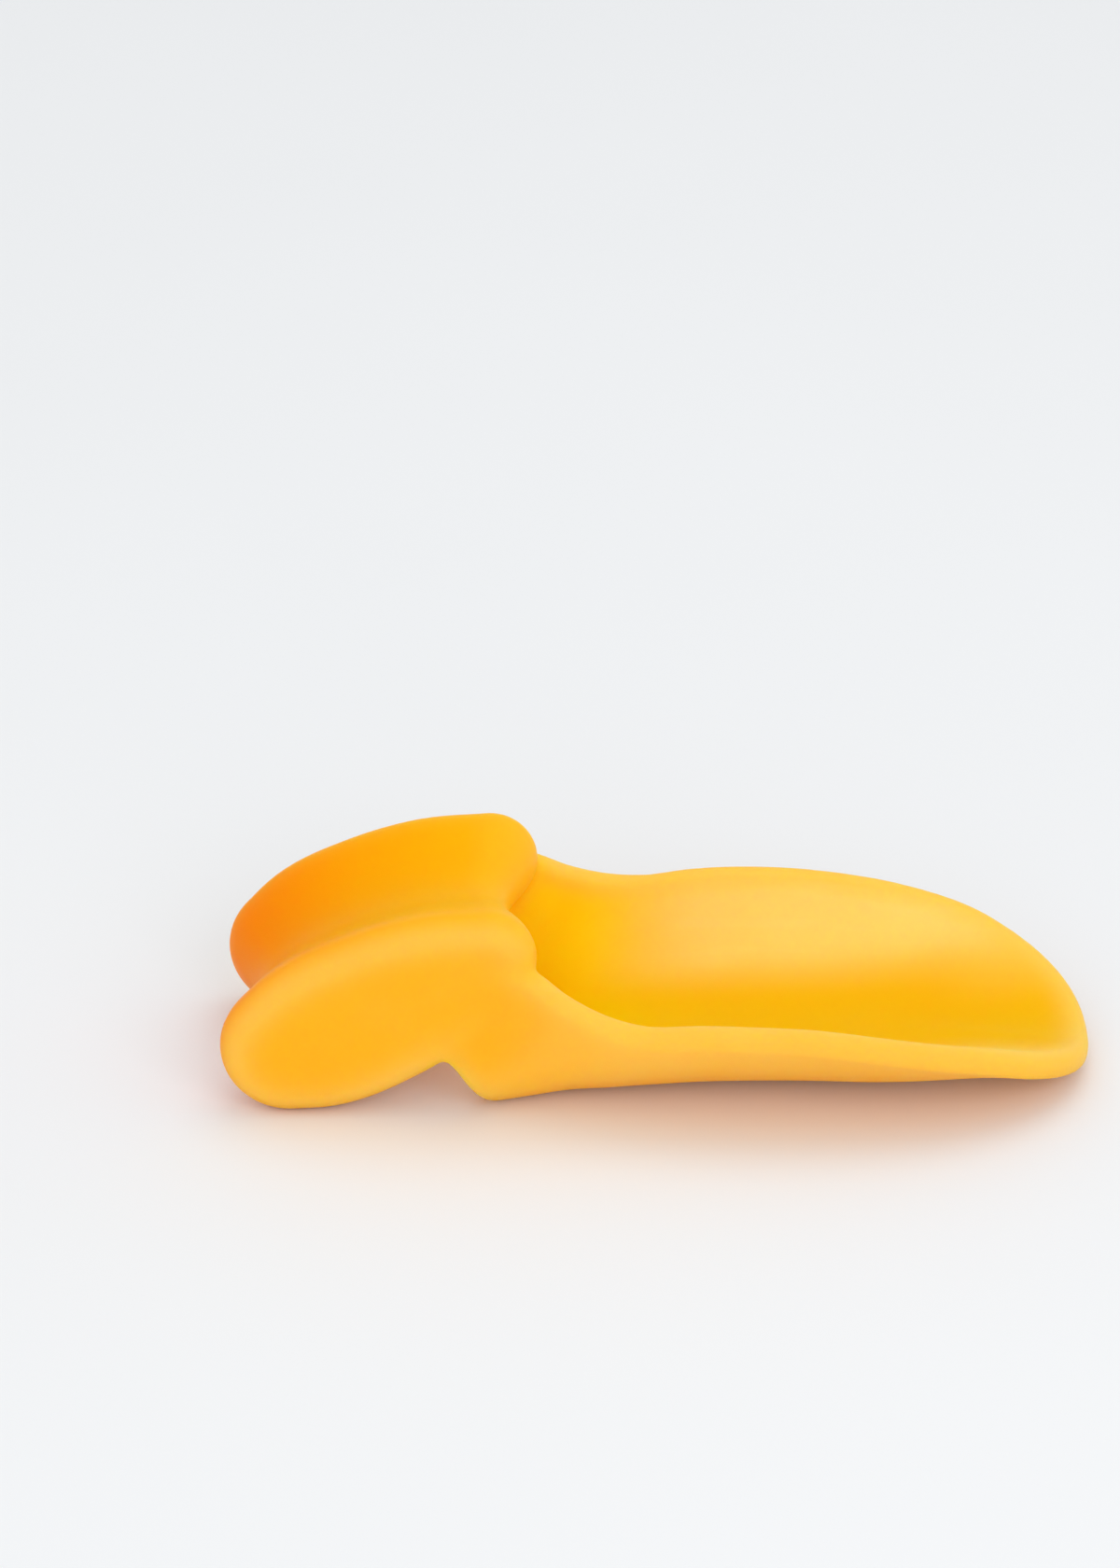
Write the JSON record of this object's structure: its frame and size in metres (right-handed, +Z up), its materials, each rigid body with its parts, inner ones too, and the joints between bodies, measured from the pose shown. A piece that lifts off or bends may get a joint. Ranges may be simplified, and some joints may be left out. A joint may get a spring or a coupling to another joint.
{
  "type": "bunion guard",
  "caption": "Soft silicone bunion guard: a grooved toe spacer joined by a toe loop to a cupped joint shield.",
  "frame": {"origin": "middle of the footprint, on the floor that the guard rests on", "axes": "+X lengthwise from the toe spacer to the shield's tip, +Y across, +Z up out of the cup"},
  "size_m": [0.0898, 0.039, 0.0223],
  "materials": {
    "silicone": "satin"
  },
  "bodies": {
    "root": {"guard": "silicone"}
  },
  "joints": []
}
